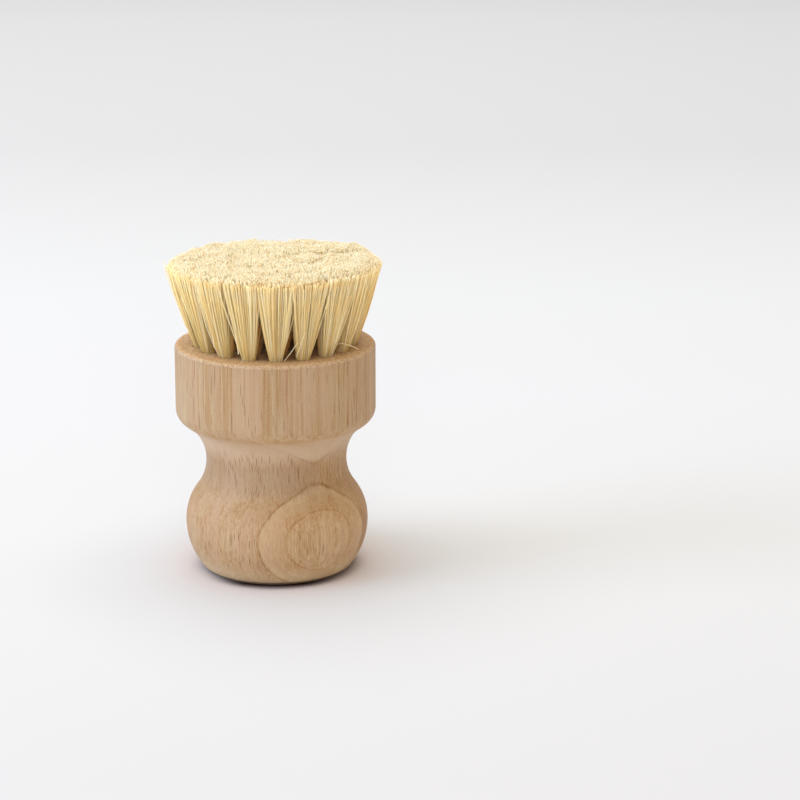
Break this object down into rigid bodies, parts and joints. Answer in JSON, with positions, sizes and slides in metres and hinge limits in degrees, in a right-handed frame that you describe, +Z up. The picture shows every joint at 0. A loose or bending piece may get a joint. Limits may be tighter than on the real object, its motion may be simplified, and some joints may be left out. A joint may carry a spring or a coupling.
{
  "type": "palm brush",
  "caption": "Round palm brush: a turned wooden handle with a knob foot, a waist and a drilled head, filled with splayed tufts of stiff pale plant fibre.",
  "frame": {"origin": "centre of the handle's flat foot, which the brush stands on", "axes": "+Z up along the handle's axis, from the foot to the tips of the fibres; -Y is the front"},
  "size_m": [0.057, 0.0574, 0.087],
  "materials": {
    "wood": "bare pale hardwood, turned and sanded smooth, matte",
    "fibre": "fine stiff pale cream plant fibre, trimmed level",
    "wire": "plain drawn flat wire"
  },
  "bodies": {
    "root": {"handle": "wood", "anchor_wires": "wire", "tuft_outer_01": "fibre", "tuft_outer_02": "fibre", "tuft_outer_03": "fibre", "tuft_outer_04": "fibre", "tuft_outer_05": "fibre", "tuft_outer_06": "fibre", "tuft_outer_07": "fibre", "tuft_outer_08": "fibre", "tuft_outer_09": "fibre", "tuft_outer_10": "fibre", "tuft_outer_11": "fibre", "tuft_outer_12": "fibre", "tuft_outer_13": "fibre", "tuft_outer_14": "fibre", "tuft_outer_15": "fibre", "tuft_outer_16": "fibre", "tuft_outer_17": "fibre", "tuft_outer_18": "fibre", "tuft_middle_01": "fibre", "tuft_middle_02": "fibre", "tuft_middle_03": "fibre", "tuft_middle_04": "fibre", "tuft_middle_05": "fibre", "tuft_middle_06": "fibre", "tuft_middle_07": "fibre", "tuft_middle_08": "fibre", "tuft_middle_09": "fibre", "tuft_middle_10": "fibre", "tuft_middle_11": "fibre", "tuft_middle_12": "fibre", "tuft_inner_01": "fibre", "tuft_inner_02": "fibre", "tuft_inner_03": "fibre", "tuft_inner_04": "fibre", "tuft_inner_05": "fibre", "tuft_inner_06": "fibre", "tuft_centre": "fibre"}
  },
  "joints": []
}
